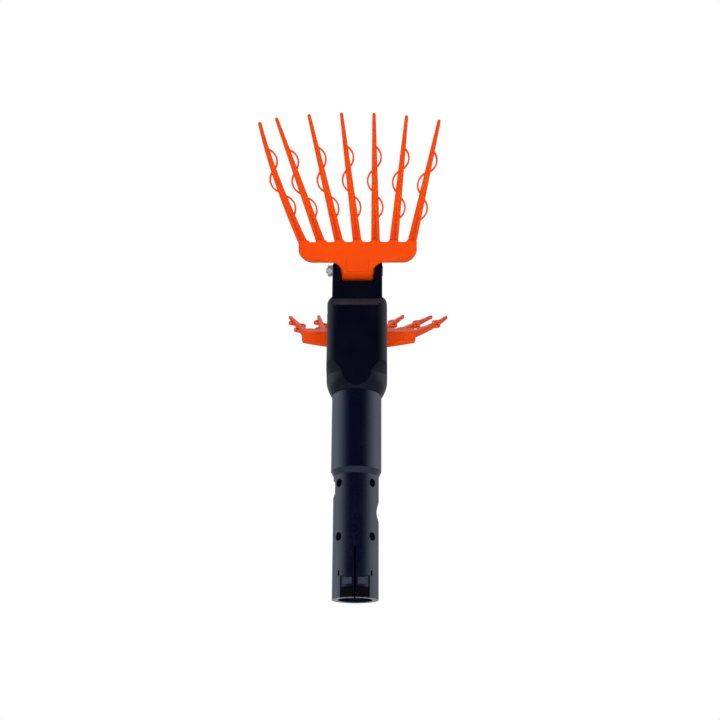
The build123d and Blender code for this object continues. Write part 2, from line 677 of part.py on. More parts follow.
def make_loop(index, share, side):
    """Thin bow on one side of a tine."""
    plane = tine_plane(index, share)
    edge = side * tine_width(share) / 2
    foot = edge - side * LOOP_SINK
    outer = ThreePointArc((foot, -LOOP_CHORD / 2), (edge + side * LOOP_RISE, 0), (foot, LOOP_CHORD / 2))
    half_inner = LOOP_CHORD / 2 - LOOP_FOOT_W
    inner = ThreePointArc((foot, -half_inner), (edge + side * (LOOP_RISE - LOOP_W), 0), (foot, half_inner))
    band = make_face([outer, Line(outer @ 1, inner @ 1), inner, Line(inner @ 0, outer @ 0)])
    normal = plane.z_dir
    loop_plane = Plane(origin=plane.origin - Vector(0, LOOP_T / 2, 0), x_dir=(normal.Z, 0, -normal.X),
                       z_dir=(0, 1, 0))
    return extrude(loop_plane * band, amount=LOOP_T)


def comb_bar():
    """Cross bar: flat inside, arched outside, round lower corners and a scalloped top."""
    half = BAR_W / 2
    arch = ThreePointArc((-half, -BAR_END_T), (0, -BAR_MID_T), (half, -BAR_END_T))
    section = make_face([arch, Line((half, -BAR_END_T), (half, TONGUE_INNER)),
                         Line((half, TONGUE_INNER), (-half, TONGUE_INNER)),
                         Line((-half, TONGUE_INNER), (-half, -BAR_END_T))])
    section = fillet(section.vertices(), BAR_EDGE_R)
    bar = extrude(section, amount=2 * BAR_TOP, dir=(0, 0, 1))
    # The outline runs a little past the section's ends, so that the two never share a face.
    far = half + BAR_END_EASE
    outline = make_face(Polyline((-far, BAR_FOOT), (far, BAR_FOOT), (far, BAR_TOP), (-far, BAR_TOP),
                                 close=True))
    outline = fillet(outline.vertices().sort_by(Axis.Y)[:2], BAR_CORNER_R)
    outline = fillet(outline.vertices().sort_by(Axis.Y)[-2:], BAR_EDGE_R)
    for index in range(-TINES_EACH_SIDE, TINES_EACH_SIDE):
        scallop = SlotOverall(TINE_PITCH - TINE_ROOT_W, 2 * SCALLOP_DEPTH)
        outline -= Pos(TINE_PITCH * (index + 0.5), BAR_TOP) * scallop
    bar &= front_plate(outline, -2 * BAR_MID_T, 2 * TONGUE_INNER)
    return bar - [bar_bevel(side) for side in (-1, 1)]


def bar_bevel(side):
    """Slanted cut under one end of the bar, deeper towards the end."""
    half = BAR_W / 2
    near = Vector(side * BEVEL_START, -BAR_MID_T, BAR_FOOT)
    high = Vector(side * half, -BAR_END_T, BAR_FOOT + BEVEL_H)
    deep = Vector(side * half, BEVEL_D - BAR_END_T, BAR_FOOT)
    down = (deep - near).cross(high - near) * side
    return Plane(origin=near, z_dir=down) * Pos(0, 0, half) * Box(2 * BAR_W, 2 * BAR_W, BAR_W)


def flare_arc():
    """Centre and radius of the arc along each side of the tongue, from the hub out to the bar's foot."""
    chord = Vector(TONGUE_FLARE, BAR_FOOT)
    radius = (chord.length ** 2 / 4 + TONGUE_FLARE_BOW ** 2) / (2 * TONGUE_FLARE_BOW)
    to_ear = Vector(BAR_FOOT, -TONGUE_FLARE).normalized()
    centre = Vector(HUB_W / 2, 0) + chord * 0.5 + to_ear * (radius - TONGUE_FLARE_BOW)
    return centre, radius


def comb_tongue():
    """Hub barrel on the pivot and the flared tongue that joins it to the bar."""
    half = HUB_W / 2
    flare_x = half + TONGUE_FLARE
    top = BAR_FOOT + BAR_EDGE_R
    centre, radius = flare_arc()
    crest = centre + Vector(-BAR_FOOT, TONGUE_FLARE).normalized() * radius
    right = ThreePointArc((half, 0), (crest.X, crest.Y), (flare_x, BAR_FOOT))
    left = ThreePointArc((-flare_x, BAR_FOOT), (-crest.X, crest.Y), (-half, 0))
    outline = make_face([Line((-half, 0), (half, 0)), right, Line((flare_x, BAR_FOOT), (flare_x, top)),
                         Line((flare_x, top), (-flare_x, top)), Line((-flare_x, top), (-flare_x, BAR_FOOT)),
                         left])
    plate = front_plate(outline, -HUB_R, TONGUE_INNER)
    front_arcs = plate.faces().sort_by(Axis.Y)[0].edges().filter_by(GeomType.CIRCLE)
    plate = chamfer(front_arcs, HUB_EDGE)
    barrel = x_rod(HUB_R, -half, half)
    barrel = chamfer(barrel.edges().filter_by(GeomType.CIRCLE), HUB_EDGE)
    return plate + barrel


def tongue_panel():
    """Shallow recess in the outer face with drafted edges, which runs out into the bar."""
    floor_y = PANEL_DEPTH - HUB_R
    profile = make_face(Polyline((-2 * HUB_R, PANEL_FOOT - PANEL_DRAFT * (HUB_R + PANEL_DEPTH)),
                                 (floor_y, PANEL_FOOT), (-BAR_MID_T, PANEL_TOP), (-2 * HUB_R, PANEL_TOP),
                                 close=True))
    mouth_half = PANEL_W / 2 + PANEL_DRAFT * (HUB_R + PANEL_DEPTH)
    plan = make_face(Polyline((-PANEL_W / 2, floor_y), (PANEL_W / 2, floor_y), (mouth_half, -2 * HUB_R),
                              (-mouth_half, -2 * HUB_R), close=True))
    depth_cut = extrude(Pos(0, 0, -HUB_R) * plan, amount=PANEL_TOP + HUB_R, dir=(0, 0, 1))
    return side_plate(profile, -mouth_half, mouth_half) & depth_cut


def make_comb_blank():
    """The moulding that both combs share, with the seats of its two flanged bushes."""
    pieces = [comb_tongue()]
    for index in range(-TINES_EACH_SIDE, TINES_EACH_SIDE + 1):
        pieces += make_tine(index)
    comb = comb_bar() + pieces - tongue_panel()
    half = HUB_W / 2
    seat_r = SLEEVE_R + BUSH_WALL
    comb -= x_rod(SLEEVE_R + BUSH_WALL / 2, -half, half)
    for x0, x1 in ((-half, BUSH_L - half), (half - BUSH_L, half)):
        comb -= x_rod(seat_r, x0, x1)
    for x0, x1 in ((-EAR_GAP / 2, -half), (half, EAR_GAP / 2)):
        comb -= x_rod(BUSH_FLANGE_R + FLANGE_GAP, x0, x1)
    return comb


def make_lever():
    """Steel lever on the pivot, drawn along +Y."""
    eye = Circle(LEVER_EYE_R)
    end = Pos(LEVER_R, 0) * Circle(LEVER_END_R)
    return side_plate(make_hull([eye.edge(), end.edge()]), LEVER_X0, LEVER_X1)


def bored_lever(turn):
    """Lever at its angle, bored for the pivot sleeve and for its pin."""
    lever = make_lever() - x_rod(SLEEVE_R + BUSH_CLEARANCE, LEVER_X0, LEVER_X1)
    lever -= x_rod(LEVER_PIN_R, LEVER_X0, LEVER_X1, LEVER_R)
    return Rot(turn, 0, 0) * lever


def lever_pin(turn):
    """Pin pressed into the lever's end, reaching through the yoke."""
    return Rot(turn, 0, 0) * x_rod(LEVER_PIN_R, YOKE_X0, LEVER_X1, LEVER_R)


def comb_bushes():
    """Flanged bushes in both ends of a comb's hub."""
    bushes = []
    for side in (-1, 1):
        inner = side * (HUB_W / 2 - BUSH_L)
        face = side * HUB_W / 2
        outer = face + side * BUSH_FLANGE_T
        bush = x_rod(SLEEVE_R + BUSH_WALL, min(inner, outer), max(inner, outer))
        bush += x_rod(BUSH_FLANGE_R, min(face, outer), max(face, outer))
        bushes.append(bush - x_rod(SLEEVE_R + BUSH_CLEARANCE, min(inner, outer), max(inner, outer)))
    return Compound(bushes)


# Pivot hardware, drawn on the X axis

def pivot_sleeve():
    half = EAR_GAP / 2
    return x_rod(SLEEVE_R, -half, half) - x_rod(BOLT_HOLE_R, -half, half)


def head_seat_x():
    return NECK_W / 2 - HEAD_H + HEAD_PROUD


def pivot_bolt():
    """Hexagon bolt whose head is sunk in the right ear."""
    seat = head_seat_x()
    tip = -NECK_W / 2 - WASHER_T - NUT_H - BOLT_STICK_OUT
    return x_rod(BOLT_R, tip, seat) + hex_bar(HEX_FLATS, seat, seat + HEAD_H)


def pivot_washer():
    x1 = -NECK_W / 2
    return x_rod(WASHER_R, x1 - WASHER_T, x1) - x_rod(BOLT_HOLE_R, x1 - WASHER_T, x1)


def pivot_nut():
    x1 = -NECK_W / 2 - WASHER_T
    return hex_bar(HEX_FLATS, x1 - NUT_H, x1) - x_rod(BOLT_R, x1 - NUT_H, x1)


# Housing

def turned_limit(inset):
    """Turned envelope that rounds the case into the collar; inset moves it inwards."""
    rim = COLLAR_R + COLLAR_EDGE - inset
    flare = rim + FLARE_OUT
    wide = flare + SPREAD_OUT
    flare_z = COLLAR_Z + FLARE_H
    spread_z = flare_z + SPREAD_H
    bulge_x = (rim + flare) / 2 + FLARE_BULGE
    bulge = ThreePointArc((rim, COLLAR_Z), (bulge_x, COLLAR_Z + FLARE_BULGE_H), (flare, flare_z))
    outline = make_face([bulge, Polyline((flare, flare_z), (wide, spread_z), (wide, CASE_TOP_Z),
                                         (0, CASE_TOP_Z), (0, COLLAR_Z), (rim, COLLAR_Z))])
    return revolve(Plane.XZ * outline, Axis.Z)


def case_body():
    """Round-cornered gear case with soft shoulders and a sloped front edge."""
    outline = Pos(0, CASE_MID_Y, COLLAR_Z) * RectangleRounded(CASE_W, CASE_D, CASE_CORNER_R)
    case = extrude(outline, amount=CASE_TOP_Z - COLLAR_Z)
    case = fillet(case.faces().sort_by(Axis.Z)[-1].edges(), SHOULDER_R)
    profile = make_face(Polyline((-CASE_FRONT, COLLAR_Z), (-CASE_FRONT, SLOPE_Z),
                                 (SLOPE_D - CASE_FRONT, CASE_TOP_Z), (CASE_BACK, CASE_TOP_Z),
                                 (CASE_BACK, COLLAR_Z), close=True))
    slope_foot = profile.vertices().sort_by_distance((-CASE_FRONT, SLOPE_Z))[0]
    profile = fillet(slope_foot, SLOPE_EDGE_R)
    return case & side_plate(profile, -CASE_W, CASE_W) & turned_limit(0)


def round_sides(plate):
    """Soften the rims of a plate's two side faces."""
    rims = plate.faces().sort_by(Axis.X)[0].edges() + plate.faces().sort_by(Axis.X)[-1].edges()
    return fillet(rims, NECK_EDGE_R)


def neck_body():
    """Neck with the ears of the upper pivot and the tower over the yoke."""
    ear = Pos(UPPER_PIVOT_Y, UPPER_PIVOT_Z) * Circle(HUB_R)
    foot = make_face(Polyline((-NECK_FRONT, SLOPE_Z), (CASE_BACK, SLOPE_Z),
                              (CASE_BACK, UPPER_PIVOT_Z - SLOT_BELOW),
                              (-NECK_FRONT, UPPER_PIVOT_Z - FRONT_SLOT_BELOW), close=True))
    plate = side_plate(make_hull(ear.edges() + foot.edges()), -NECK_W / 2, NECK_W / 2)
    tower = block(-NECK_W / 2, NECK_W / 2, TOWER_FRONT_Y, CASE_BACK, SLOPE_Z, TOWER_TOP_Z)
    return round_sides(plate) + fillet(tower.edges(), NECK_EDGE_R)


def rear_arm():
    """Arm that carries the lower pivot behind the case."""
    eye = Pos(LOWER_PIVOT_Y, LOWER_PIVOT_Z) * Circle(HUB_R)
    root_y0 = CASE_BACK - WALL - REAR_ARM_ROOT
    root_y1 = CASE_BACK - NECK_EDGE_R
    root_z0 = LOWER_PIVOT_Z - REAR_ARM_DROP
    root_z1 = LOWER_PIVOT_Z + REAR_ARM_RISE
    root = make_face(Polyline((root_y0, root_z0), (root_y1, root_z0), (root_y1, root_z1), (root_y0, root_z1),
                              close=True))
    return round_sides(side_plate(make_hull(eye.edges() + root.edges()), -NECK_W / 2, NECK_W / 2))


def ear_relief(start):
    """Cut that lets a comb's flared tongue swing past the inner edges of its ears."""
    centre, radius = flare_arc()
    reach = radius - EAR_RELIEF
    inner = EAR_GAP / 2
    outer = NECK_W / 2 + EAR_RELIEF
    low, middle, high = [(x, centre.Y + (reach ** 2 - (centre.X - x) ** 2) ** 0.5)
                         for x in (inner, (inner + outer) / 2, outer)]
    top = HUB_R + EAR_RELIEF
    face = make_face([ThreePointArc(low, middle, high), Polyline(high, (outer, top), (inner, top), low)])
    cut = Rot(start, 0, 0) * revolve(Plane.XY * face, Axis.X, revolution_arc=RELIEF_SWEEP)
    return cut + mirror(cut, Plane.YZ)


def case_hollow():
    """Space inside the case and the neck, open at both comb slots."""
    inner = RectangleRounded(CASE_W - 2 * WALL, CASE_D - 2 * WALL, CASE_CORNER_R - WALL)
    hollow = extrude(Pos(0, CASE_MID_Y, COLLAR_Z) * inner, amount=SLOPE_Z - COLLAR_Z) & turned_limit(WALL)
    hollow &= block(-CASE_W, CASE_W, -CASE_D, CASE_D, TUBE_Z1, CASE_TOP_Z)
    half = EAR_GAP / 2
    back = CASE_BACK - WALL
    hollow += block(-half, half, WALL - NECK_FRONT, back, SLOPE_Z - SLOPE_H, UPPER_PIVOT_Z)
    hollow += block(-half, half, UPPER_PIVOT_Y, back, UPPER_PIVOT_Z - SLOT_BELOW, TOWER_TOP_Z - WALL)
    slot_y1 = TOWER_FRONT_Y + WALL
    hollow += block(-half, half, -CASE_D, slot_y1, UPPER_PIVOT_Z - FRONT_SLOT_BELOW, TOWER_TOP_Z + WALL)
    hollow += block(-half, half, back - WALL, CASE_D, LOWER_PIVOT_Z - SLOT_BELOW, LOWER_PIVOT_Z + SLOT_BELOW)
    hollow += z_rod(COLLAR_R, COLLAR_Z, TUBE_Z1)
    rib_z1 = TUBE_Z1 - RIB_DROP + COLLAR_CLEARANCE
    rib_z0 = rib_z1 - RIB_H - 2 * COLLAR_CLEARANCE
    hollow += z_rod(COLLAR_R + RIB_PROUD, rib_z0, rib_z1)
    return hollow


def screw_places():
    """Y, Z and the X of the outer wall for each housing screw."""
    front_y = FRONT_SCREW_IN - CASE_FRONT
    back_y = CASE_BACK - BACK_SCREW_IN
    case_x = CASE_W / 2
    return ((front_y, CRANK_Z + FRONT_SCREW_LOW_RISE, case_x),
            (front_y, CRANK_Z + FRONT_SCREW_HIGH_RISE, case_x),
            (back_y, CRANK_Z + BACK_SCREW_LOW_RISE, case_x),
            (back_y, CRANK_Z + NECK_SCREW_RISE, NECK_W / 2))


def housing_bosses():
    """Inner bosses for the screws, the outer crank bush and the yoke's guide pins."""
    bosses = [x_rod(SCREW_BOSS_R, WALL / 2 - wall_x, wall_x - WALL / 2, y, z)
              for y, z, wall_x in screw_places()]
    bosses.append(x_rod(CRANK_BUSH_R + WALL, OUTER_BUSH_X0, CASE_W / 2 - WALL / 2, 0, CRANK_Z))
    for pin_z in GUIDE_PIN_ZS:
        wall_x = CASE_W / 2 if pin_z < SLOPE_Z else NECK_W / 2
        bosses.append(x_rod(GUIDE_BOSS_R, WALL / 2 - wall_x, YOKE_X0 - SIDE_GAP, YOKE_Y, pin_z))
    return bosses


def make_housing():
    """Both halves as one shell, before the seam is cut."""
    outer = case_body() + neck_body() + rear_arm()
    shell = outer - case_hollow()
    for boss in housing_bosses():
        shell += boss & outer
    for y, z, wall_x in screw_places():
        seat = SCREW_SINK - wall_x
        shell -= x_rod(SCREW_HEAD_R + SCREW_HEAD_CLEARANCE, -CASE_W, seat, y, z)
        shell -= x_rod(SCREW_HOLE_R, seat, 0, y, z)
        shell -= x_rod(SCREW_R + SCREW_THREAD_CLEARANCE, 0, SCREW_BITE, y, z)
    shell -= x_rod(CRANK_BUSH_R, OUTER_BUSH_X0, OUTER_BUSH_X1, 0, CRANK_Z)
    for pin_z in GUIDE_PIN_ZS:
        shell -= x_rod(GUIDE_PIN_R, YOKE_X0 - SIDE_GAP - GUIDE_PIN_ROOT, YOKE_X0 - SIDE_GAP, YOKE_Y, pin_z)
    for pivot in (UPPER_PIVOT, LOWER_PIVOT):
        shell -= pivot * x_rod(BOLT_HOLE_R, -NECK_W, NECK_W)
        shell -= pivot * hex_bar(HEX_FLATS + 2 * BOLT_HOLE_CLEARANCE, head_seat_x(), NECK_W)
    shell -= UPPER_PIVOT * ear_relief(UPPER_RELIEF_START)
    shell -= LOWER_PIVOT * ear_relief(LOWER_RELIEF_START)
    return shell


def housing_half(shell, side):
    """The part of the shell on one side of the seam."""
    near = side * SEAM_GAP / 2
    far = side * CASE_W
    keep = block(min(near, far), max(near, far), -CASE_D, 2 * CASE_D, 0, 2 * CASE_TOP_Z)
    return shell & keep


def make_housing_screws():
    """Pan-head screws from the left half into the right half."""
    screws = []
    for y, z, wall_x in screw_places():
        seat = SCREW_SINK - wall_x
        screw = x_rod(SCREW_R, seat, SCREW_BITE, y, z) + x_rod(SCREW_HEAD_R, seat - SCREW_HEAD_H, seat, y, z)
        screws.append(screw)
    return Compound(screws)


def collect_pieces():
    """Every node of the head by name."""
    housing = make_housing()
    pieces = {
        "pole_socket": make_pole_socket(),
        "motor_tube": make_motor_tube(),
        "housing_left": housing_half(housing, -1),
        "housing_right": housing_half(housing, 1),
        "housing_screws": make_housing_screws(),
        "motor_can": make_motor_can(),
        "motor_bushes": make_motor_bushes(),
        "motor_end_cap": make_motor_end_cap(),
        "motor_terminals": Compound([terminal_blade(-1), terminal_blade(1)]),
        "motor_brushes": make_motor_brushes(),
        "motor_magnets": make_motor_magnets(),
        "motor_shaft": make_motor_shaft(),
        "armature_core": make_armature_core(),
        "armature_winding": make_armature_winding(),
        "commutator": make_commutator(),
        "gear_frame": make_gear_frame(),
        "frame_screws": make_frame_screws(),
        "drive_pinion": make_drive_pinion(),
        "crown_gear": make_crown_gear(),
        "crankshaft": make_crankshaft(),
        "crank_bush_inner": crank_bush(LEG_X0, LEG_X1),
        "crank_bush_outer": crank_bush(OUTER_BUSH_X0, OUTER_BUSH_X1),
        "drive_yoke": make_drive_yoke(),
        "yoke_guide_pins": make_yoke_guide_pins(),
    }
    blank = make_comb_blank()
    upper_comb = UPPER_PIVOT * Rot(UPPER_LEAN, 0, 0) * blank
    lower_comb = LOWER_PIVOT * Rot(LOWER_RISE - 90, 0, 0) * Rot(0, 0, 180) * blank
    for name, comb, pivot, turn in (("upper", upper_comb, UPPER_PIVOT, UPPER_LEVER_TURN),
                                    ("lower", lower_comb, LOWER_PIVOT, LOWER_LEVER_TURN)):
        pieces[name + "_comb"] = comb - pivot * Rot(turn, 0, 0) * make_lever()
        pieces[name + "_comb_bushes"] = pivot * comb_bushes()
        pieces[name + "_lever"] = pivot * bored_lever(turn)
        pieces[name + "_lever_pin"] = pivot * lever_pin(turn)
        pieces[name + "_pivot_sleeve"] = pivot * pivot_sleeve()
        pieces[name + "_pivot_bolt"] = pivot * pivot_bolt()
        pieces[name + "_pivot_washer"] = pivot * pivot_washer()
        pieces[name + "_pivot_nut"] = pivot * pivot_nut()
    return pieces


os.makedirs("parts", exist_ok=True)
for node, shape in collect_pieces().items():
    export_step(shape, f"parts/{node}.step")
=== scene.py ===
"""Electric olive harvester head: its finishes, small fasteners and trim, and a plain studio."""
import json
import math

import bmesh
import bpy
from mathutils import Matrix, Vector


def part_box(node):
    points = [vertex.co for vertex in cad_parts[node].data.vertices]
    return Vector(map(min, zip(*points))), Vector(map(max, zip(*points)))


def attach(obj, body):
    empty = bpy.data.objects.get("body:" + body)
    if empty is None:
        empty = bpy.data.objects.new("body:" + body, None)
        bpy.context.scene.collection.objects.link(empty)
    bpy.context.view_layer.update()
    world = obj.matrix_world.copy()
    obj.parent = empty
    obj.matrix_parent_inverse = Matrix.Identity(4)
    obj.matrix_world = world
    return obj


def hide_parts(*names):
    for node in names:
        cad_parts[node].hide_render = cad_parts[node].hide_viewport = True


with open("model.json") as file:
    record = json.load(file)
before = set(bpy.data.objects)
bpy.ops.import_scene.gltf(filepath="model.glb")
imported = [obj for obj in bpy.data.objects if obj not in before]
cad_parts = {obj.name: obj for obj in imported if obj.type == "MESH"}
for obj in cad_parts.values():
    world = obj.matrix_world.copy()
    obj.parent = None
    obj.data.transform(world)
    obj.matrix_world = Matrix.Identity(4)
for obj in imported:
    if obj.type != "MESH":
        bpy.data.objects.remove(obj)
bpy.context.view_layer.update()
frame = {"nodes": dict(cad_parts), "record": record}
NODES = frame["nodes"]

MM = 0.001
MERGE_DISTANCE = 0.001 * MM

# Colours, sRGB: each finish drifts between its low and its high one
DARK_PLASTIC_LOW = "#02030F"
DARK_PLASTIC_HIGH = "#070814"
DARK_COAT_LOW = "#010213"
DARK_COAT_HIGH = "#050619"
DARK_SHEEN = "#C8DEFF"
ORANGE_LOW = "#D83E02"
ORANGE_HIGH = "#DE4803"
PAD_LOW = "#212534"
PAD_HIGH = "#272B3C"
RUBBER_LOW = "#020207"
RUBBER_HIGH = "#05050B"
ZINC_LOW = "#8F9398"
ZINC_HIGH = "#B9BCC0"
STEEL_LOW = "#54575C"
STEEL_HIGH = "#73777C"
BRONZE_LOW = "#8A6A3C"
BRONZE_HIGH = "#A98450"
COPPER_LOW = "#8E4A26"
COPPER_HIGH = "#B86638"
CAST_LOW = "#8C8F92"
CAST_HIGH = "#B2B4B6"
FERRITE_LOW = "#1B1B1D"
FERRITE_HIGH = "#2C2C2F"
LAMINATE_LOW = "#4A4B4D"
LAMINATE_HIGH = "#696A6C"
FLOOR_COLOUR = "#EDEDEB"
WHITE = (1, 1, 1, 1)

# Noise of every finish: its detail, the part of the drift that moves the gloss, the grain's weight
DRIFT_DETAIL = 3.0
DRIFT_RANGE = (0.3, 0.7)
GRAIN_DETAIL = 2.0
GRAIN_STRENGTH = 0.6
# Sockets of a Mix node that mixes colours
MIX_LOW = 6
MIX_HIGH = 7
MIX_RESULT = 2

# Fasteners, millimetres
TURN_STEPS = 48
HEX_SIDES = 6
CORNER_CHAMFER = 0.9
CHAMFER_SHARE = 0.95
THREAD_PITCH = 1.0
THREAD_DEPTH = 0.45
BOLT_R = 3.0
BOLT_HEAD_H = 4.0
BOLT_THREAD_LENGTH = 12.0
SCREW_R = 1.65
SCREW_THREAD_LENGTH = 14.0
SCREW_THREAD_DEPTH = 0.3
SCREW_TIP = 18.0
SCREW_HEAD_R = 3.6
SCREW_HEAD_H = 3.2
SCREW_HEAD_EASE = 0.4
SCREW_SOCKET_FLATS = 3.0
SCREW_SOCKET_DEPTH = 1.8
SCREW_RIM_R = 2.4
# Each screw's y and z, and the x of the seat under its head
SCREW_PLACES = (
    (-13.0, 256.0, -24.0),
    (-13.0, 282.0, -24.0),
    (29.04, 244.0, -24.0),
    (29.04, 312.0, -19.2),
)

# Clamp recess at the front of the socket's mouth, millimetres and degrees off the front
RECESS_FLOOR_R = 20.6
# A dull near-black sheet over the lower part of the recess floor, which makes the recess darker
# towards the mouth
DARK_BAND_T = 0.5
DARK_BAND_Z = (0.6, 9.8)
DARK_BAND_SPAN = (3.0, 40.4)
PAD_T = 0.9
PAD_Z = (12.2, 18.2)
PAD_SPAN = (7.5, 28.0)
PLATE_EASE = 0.3
PLATE_EASE_STEPS = 2
SHARP_ANGLE = 60
BEND_STEPS = 16

# Gasket in the case seam, millimetres: it takes its outline from a cut just inside the left half
GASKET_T = 0.08
GASKET_CUT_X = -0.4

# Floor, metres, and the share of plain white that the camera and mirrors see in it
FLOOR_Z = -0.34
FLOOR_HALF = 200.0
FLOOR_ROUGHNESS = 0.9
FLOOR_WHITE = 0.35

# Surround: its even light, and what mirrors see at the sides, behind, overhead and in front
WORLD_FILL = 0.32
SIDE_WHITE = 1.7
SIDE_RANGE = (0.25, 0.98)
SIDE_POWER = 4.0
BACKDROP = (0.0, 0.94, 0.34)
BACK_WHITE = 0.42
BACK_RANGE = (0.15, 0.7)
OVERHEAD = (0.0, 0.2, 0.98)
TOP_WHITE = 4.8
TOP_RANGE = (0.9, 0.98)
FRONT_DIM = 0.005

# Soft lamps: name, place, width and height in metres, watts, and spread in degrees
AIM = Vector((0, 0, 0.27))
LAMPS = (
    ("left_box", (-1.2, -0.75, 0.55), 0.7, 1.5, 2.6, 120),
    ("right_box", (1.2, -0.75, 0.45), 0.7, 1.4, 2.4, 120),
    ("top_box", (0.0, -0.7, 1.7), 1.0, 0.7, 4.0, 180),
    ("back_box", (0.3, 1.5, 1.0), 0.9, 0.9, 26, 180),
    ("front_box", (0.0, -0.95, -0.17), 0.9, 0.3, 2.6, 90),
)

# Viewpoint: metres, degrees and millimetres
CAMERA_PLACE = (0.02489, -1.04971, -0.145)
CAMERA_YAW = 1.2
CAMERA_PITCH = 110.0
CAMERA_ROLL = 0.4
CAMERA_SENSOR = 36.0
CAMERA_LENS = 55.85


def linear(hex_colour):
    """sRGB hex to a linear colour with alpha."""
    channels = [int(hex_colour[i:i + 2], 16) / 255 for i in (1, 3, 5)]
    return [c / 12.92 if c <= 0.04045 else ((c + 0.055) / 1.055) ** 2.4 for c in channels] + [1.0]


def add(tree, kind, settings=None, inputs=None):
    """One node with its settings, its fixed inputs and the links into it."""
    node = tree.nodes.new(kind)
    for key, value in (settings or {}).items():
        setattr(node, key, value)
    for key, value in (inputs or {}).items():
        if isinstance(value, bpy.types.NodeSocket):
            tree.links.new(value, node.inputs[key])
        else:
            node.inputs[key].default_value = value
    return node


def surface(name, low, high, shader, roughness, patch_mm, grain_mm, grain_depth_mm,
            stretch=(1, 1, 1)):
    """A finish with a slow colour drift, a roughness drift and a fine surface grain."""
    material = bpy.data.materials.new(name)
    material.use_nodes = True
    tree = material.node_tree
    tree.nodes.clear()
    place = add(tree, "ShaderNodeTexCoord").outputs["Object"]
    drift = add(tree, "ShaderNodeTexNoise", {},
                {"Vector": place, "Scale": 1 / (patch_mm * MM), "Detail": DRIFT_DETAIL})
    colour = add(tree, "ShaderNodeMix", {"data_type": "RGBA"},
                 {"Factor": drift.outputs["Fac"], MIX_LOW: linear(low), MIX_HIGH: linear(high)})
    gloss = add(tree, "ShaderNodeMapRange", {},
                {"Value": drift.outputs["Fac"],
                 "From Min": DRIFT_RANGE[0], "From Max": DRIFT_RANGE[1],
                 "To Min": roughness[0], "To Max": roughness[1]})
    lay = add(tree, "ShaderNodeMapping", {}, {"Vector": place, "Scale": stretch})
    grain = add(tree, "ShaderNodeTexNoise", {},
                {"Vector": lay.outputs["Vector"], "Scale": 1 / (grain_mm * MM),
                 "Detail": GRAIN_DETAIL})
    relief = add(tree, "ShaderNodeBump", {},
                 {"Height": grain.outputs["Fac"], "Distance": grain_depth_mm * MM,
                  "Strength": GRAIN_STRENGTH})
    body = add(tree, "ShaderNodeBsdfPrincipled", {},
               {"Base Color": colour.outputs[MIX_RESULT],
                "Roughness": gloss.outputs["Result"],
                "Normal": relief.outputs["Normal"], **shader})
    add(tree, "ShaderNodeOutputMaterial", {}, {"Surface": body.outputs["BSDF"]})
    return material


# The real grain of these faces is 0.1 to 0.3 mm, too fine to show, so it is drawn coarser.

# Glass-filled nylon, moulded in a spark-eroded tool: near-black blue with a faint broad gloss and
# a fine grain.
dark_nylon = surface(
    "moulded_dark_nylon", DARK_PLASTIC_LOW, DARK_PLASTIC_HIGH,
    {"IOR": 1.3, "Specular Tint": linear(DARK_SHEEN)},
    roughness=(0.28, 0.36), patch_mm=24, grain_mm=1.1, grain_depth_mm=0.02)

# The same nylon from a polished tool: smoother, with a clear gloss down each side.
smooth_nylon = surface(
    "polished_dark_nylon", DARK_COAT_LOW, DARK_COAT_HIGH,
    {"IOR": 1.6, "Specular Tint": linear(DARK_SHEEN)},
    roughness=(0.24, 0.32), patch_mm=24, grain_mm=1.3, grain_depth_mm=0.015)

# Powder-coated aluminium tube: the same blue-black, smoother and a little glossier.
dark_coat = surface(
    "powder_coated_tube", DARK_COAT_LOW, DARK_COAT_HIGH,
    {"IOR": 1.6, "Specular Tint": linear(DARK_SHEEN)},
    roughness=(0.22, 0.28), patch_mm=30, grain_mm=1.6, grain_depth_mm=0.015)

# Unfilled nylon, moulded with a satin face: saturated orange that glows a little where it is thin.
orange_nylon = surface(
    "moulded_orange_nylon", ORANGE_LOW, ORANGE_HIGH,
    {"IOR": 1.2, "Subsurface Weight": 0.3, "Subsurface Radius": (1.0, 0.2, 0.1),
     "Subsurface Scale": 0.002},
    roughness=(0.42, 0.52), patch_mm=18, grain_mm=1.4, grain_depth_mm=0.02)

# Moulded acetal: slate, a little paler and duller than the socket round it.
slate_acetal = surface(
    "moulded_slate_acetal", PAD_LOW, PAD_HIGH, {"IOR": 1.48},
    roughness=(0.36, 0.44), patch_mm=6, grain_mm=0.6, grain_depth_mm=0.01)

# Cut nitrile sheet: dull black, seen as the line of the seam. The same finish makes a dull dark
# band over the lower part of the socket's mouth recess, darker towards the mouth.
rubber = surface(
    "nitrile_rubber", RUBBER_LOW, RUBBER_HIGH, {"IOR": 1.15},
    roughness=(0.55, 0.70), patch_mm=6, grain_mm=0.5, grain_depth_mm=0.01)

# Zinc plate over turned steel, passivated: mid grey and slightly chalky, with faint cloudy spots.
zinc = surface(
    "zinc_plated_steel", ZINC_LOW, ZINC_HIGH, {"Metallic": 0.45},
    roughness=(0.34, 0.46), patch_mm=2.5, grain_mm=0.4, grain_depth_mm=0.01)

# Turned and ground steel, oiled: darker than the plated screws, with a cleaner shine.
steel = surface(
    "ground_steel", STEEL_LOW, STEEL_HIGH, {"Metallic": 1.0},
    roughness=(0.28, 0.40), patch_mm=6, grain_mm=0.5, grain_depth_mm=0.01)

# Sintered bronze: dull gold with open pores.
bronze = surface(
    "sintered_bronze", BRONZE_LOW, BRONZE_HIGH, {"Metallic": 1.0},
    roughness=(0.42, 0.55), patch_mm=3, grain_mm=0.5, grain_depth_mm=0.02)

# Enamelled copper, drawn and wound: warm brown metal with short streaks.
copper = surface(
    "enamelled_copper", COPPER_LOW, COPPER_HIGH, {"Metallic": 1.0},
    roughness=(0.30, 0.42), patch_mm=3, grain_mm=0.8, grain_depth_mm=0.05, stretch=(1, 1, 4))

